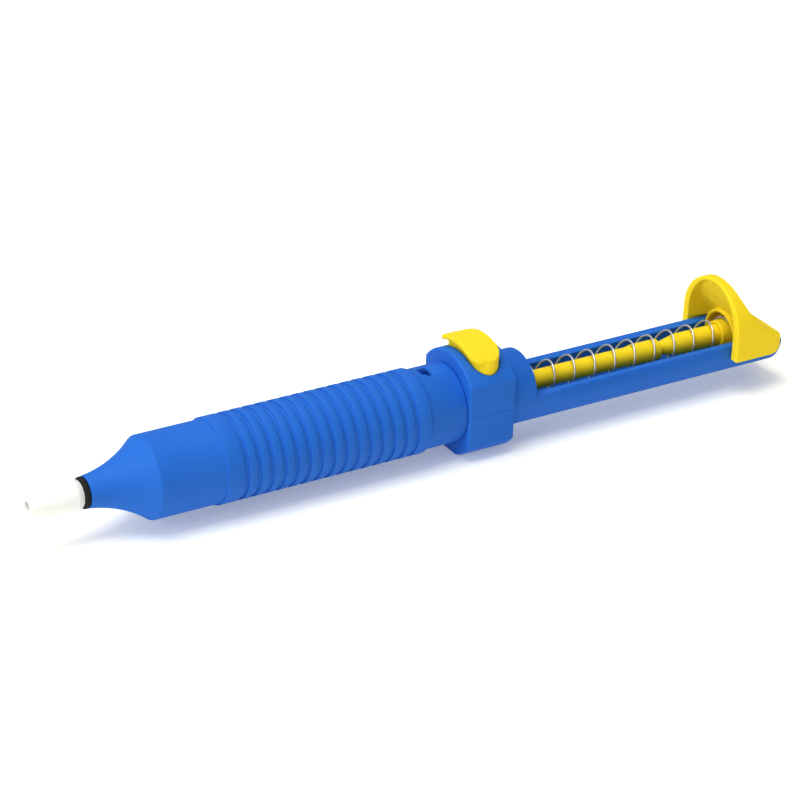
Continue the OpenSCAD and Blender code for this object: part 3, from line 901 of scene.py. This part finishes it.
class PUMP_OT_trigger(PumpOperator):
    """Builds the trigger's button, forward lip and latch blade"""

    bl_idname = "pump.trigger"
    bl_label = "Trigger"

    def plan(self, s, shift, gap, left):
        r = s.slot_w / 2 - gap
        near, far = s.slot_right - s.slot_w / 2, left - s.slot_w / 2
        outline = arc((BLADE_X + shift, far), r, -math.pi / 2, math.pi / 2, 24)
        return outline + arc((BLADE_X + shift, -near), r, math.pi / 2, 3 * math.pi / 2, 24)

    def build(self, scene):
        s = scene.pump_trigger
        floor = ROD_R + 1.9 * MM
        low_x, high_x = COLLAR_X - 4 * MM, COLLAR_X + 20 * MM
        trigger = column("trigger_body", self.plan(s, 0, s.gap, s.slot_left), floor, s.top_r)
        combine(trigger, rod_like("crown", low_x, high_x, s.top_r, 256), operation="INTERSECT")
        lip = column(
            "lip", self.plan(s, -s.lip_reach, s.gap + 0.3 * MM, s.slot_left + s.lip_reach),
            floor, s.top_r)
        shell = lathe("shell", [
            (low_x, s.top_r - s.lip_t), (low_x, s.top_r), (BLADE_X, s.top_r),
            (BLADE_X, s.top_r - s.lip_t)], 256)
        combine(lip, shell, operation="INTERSECT")
        blade_w, blade_depth = 7.2 * MM, 6.6 * MM
        blade = box("blade", (BLADE_X - MM, -blade_w, -blade_depth),
                    (BLADE_X + MM, blade_w, floor + MM))
        combine(trigger, lip, blade, operation="UNION")
        key_w, key_z = ROD_R + 0.2 * MM, -(ROD_R + 0.15 * MM)
        combine(trigger, box("keyhole", (BLADE_X - 2 * MM, -key_w, key_z),
                             (BLADE_X + 2 * MM, key_w, floor)))
        melt(trigger, 0.13 * MM, 7)
        finish_piece(trigger, "trigger", "yellow_plastic", "trigger", smooth=70)


class PUMP_OT_springs(PumpOperator):
    """Winds the main spring and the trigger's return spring"""

    bl_idname = "pump.springs"
    bl_label = "Springs"

    def build(self, scene):
        s = scene.pump_spring
        low, high = (corner.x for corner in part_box("main_spring"))
        low += s.wire / 2
        high -= s.wire / 2
        closed = CLOSED_PITCH * s.wire
        turns = (high - low - 2 * closed) / s.pitch + 2
        # The lean is greatest at this angle about the axis, and fades out over part of a turn
        peak, fade_turns = math.radians(-42), 0.8

        def height(u):
            if u < 1:
                return low + closed * u
            if u > turns - 1:
                return high - closed * (turns - u)
            fade = min(1.0, (u - 1) / fade_turns, (turns - 1 - u) / fade_turns)
            lean = s.lean * math.cos(s.start + 2 * math.pi * u - peak)
            return low + closed + s.pitch * (u - 1) + lean * fade * fade * (3 - 2 * fade)

        main_coil = coil(
            "main_spring_coil", height, turns, s.coil_r - s.wire / 2, s.wire,
            lambda p: (p.x, p.y, p.z + AXIS_Z), s.start, 48, 10)
        finish_piece(main_coil, "housing", "spring_steel", "main_spring", smooth=80)
        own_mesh(main_coil)

        base, top = (corner.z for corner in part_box("trigger_spring"))
        wire, count = s.return_wire, 5
        rise = top - base - wire

        def climb(u):
            end = CLOSED_PITCH * wire
            if u < 1:
                return end * u
            if u > count - 1:
                return rise - end * (count - u)
            return end + (rise - 2 * end) * (u - 1) / (count - 2)

        small = coil(
            "trigger_spring_coil", climb, count, s.return_r - wire / 2, wire,
            lambda p: (BLADE_X + p.y, p.z, base + wire / 2 + p.x), 0.0, 32, 8)
        finish_piece(small, "housing", "spring_steel", "trigger_spring", smooth=80)
        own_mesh(small)


class PUMP_OT_insides(PumpOperator):
    """Finishes the piston, its seals, the bumper and the cleaning pin"""

    bl_idname = "pump.insides"
    bl_label = "Piston and Insides"

    def build(self, scene):
        slots = {
            "piston": "yellow_plastic", "piston_seal_ring": "black_rubber",
            "bumper_ring": "black_rubber", "cleaning_pin": "spring_steel",
        }
        for node, slot in slots.items():
            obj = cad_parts[node]
            obj.data.materials.clear()
            obj.data.materials.append(finishes()[slot])


class PUMP_OT_stage(PumpOperator):
    """Lays the floor and sets the lights, the sky and the camera"""

    bl_idname = "pump.stage"
    bl_label = "Stage"

    def lamp(self, name, place, width, depth, power):
        """An area light that faces the middle of the tool's foot."""
        data = bpy.data.lights.new(name, "AREA")
        data.shape = "RECTANGLE"
        data.size, data.size_y = width, depth
        data.energy = power
        obj = bpy.data.objects.new(name, data)
        obj.location = place
        obj.rotation_euler = (-Vector(place)).to_track_quat("-Z", "Y").to_euler()
        bpy.context.scene.collection.objects.link(obj)

    def floor(self):
        reach, rows, drop = 2.4, 24, 0.02 * MM
        verts = [
            (reach * (2 * i / rows - 1), reach * (2 * k / rows - 1), FOOT_Z - drop)
            for i in range(rows + 1) for k in range(rows + 1)]
        faces = [
            (i * (rows + 1) + k, (i + 1) * (rows + 1) + k,
             (i + 1) * (rows + 1) + k + 1, i * (rows + 1) + k + 1)
            for i in range(rows) for k in range(rows)]
        floor = mesh_object("floor", verts, faces)
        f = Finish("floor_card")
        material = f.set(
            base_color=f.mix(
                f.noise(6, detail=2), (0.93, 0.91, 0.85, 1), (0.95, 0.93, 0.87, 1)),
            roughness=f.ranged(f.noise(30, detail=3), 0.4, 0.5),
            emission_color=(1.0, 0.98, 0.92, 1.0), emission_strength=0.28)
        floor.data.materials.append(material)

    def camera(self, scene):
        s = scene.pump_studio
        a, e, roll = s.azimuth, s.elevation, s.roll
        back = Vector((
            math.sin(a) * math.cos(e), -math.cos(a) * math.cos(e), math.sin(e)))
        right = Vector((math.cos(a), math.sin(a), 0))
        up = back.cross(right)
        turned_right = math.cos(roll) * right + math.sin(roll) * up
        turned_up = math.cos(roll) * up - math.sin(roll) * right
        data = bpy.data.cameras.new("camera")
        data.lens = s.lens
        data.sensor_width = 36
        data.clip_start, data.clip_end = 0.01, 20
        obj = bpy.data.objects.new("camera", data)
        turn = Matrix((turned_right, turned_up, back)).transposed()
        obj.matrix_world = Matrix.Translation(Vector(s.aim) + back * s.distance) @ turn.to_4x4()
        scene.collection.objects.link(obj)
        scene.camera = obj

    def build(self, scene):
        self.floor()
        world = bpy.data.worlds.new("sky")
        world.use_nodes = True
        background = world.node_tree.nodes["Background"]
        background.inputs["Color"].default_value = (1.0, 1.0, 1.0, 1)
        background.inputs["Strength"].default_value = 0.36
        scene.world = world
        self.lamp("key", (-0.3, 0.0, 1.1), 0.8, 0.6, 9.6)
        self.lamp("fill", (-1.1, -0.35, 0.55), 0.9, 0.6, 5.2)
        self.lamp("rim", (0.35, 0.9, 0.7), 1.0, 0.5, 1.2)
        self.camera(scene)
        scene.view_settings.view_transform = "Standard"
        scene.view_settings.gamma = 0.8


class PUMP_PT_panel(bpy.types.Panel):
    """Lists the pump's pieces and sizes"""

    bl_idname = "PUMP_PT_panel"
    bl_label = "Desoldering Pump"
    bl_space_type = "VIEW_3D"
    bl_region_type = "UI"
    bl_category = "Pump"

    def draw(self, context):
        layout = self.layout
        for operator in BUILD_ORDER:
            layout.operator(operator.bl_idname)
        for name, group in GROUPS.items():
            column_box = layout.box()
            column_box.label(text=name.replace("_", " ").title())
            values = getattr(context.scene, name)
            for key in group.__annotations__:
                column_box.prop(values, key)


BUILD_ORDER = (
    PUMP_OT_stage, PUMP_OT_barrel, PUMP_OT_nozzle, PUMP_OT_housing, PUMP_OT_plunger,
    PUMP_OT_knob, PUMP_OT_trigger, PUMP_OT_springs, PUMP_OT_insides,
)
CLASSES = (*GROUPS.values(), *BUILD_ORDER, PUMP_PT_panel)


def register():
    for cls in CLASSES:
        bpy.utils.register_class(cls)
    for name, group in GROUPS.items():
        setattr(bpy.types.Scene, name, bpy.props.PointerProperty(type=group))


def unregister():
    for name in GROUPS:
        delattr(bpy.types.Scene, name)
    for cls in reversed(CLASSES):
        bpy.utils.unregister_class(cls)


def main():
    register()
    for operator in BUILD_ORDER:
        group, name = operator.bl_idname.split(".")
        getattr(getattr(bpy.ops, group), name)()
    bpy.context.view_layer.update()


if __name__ == "__main__":
    main()
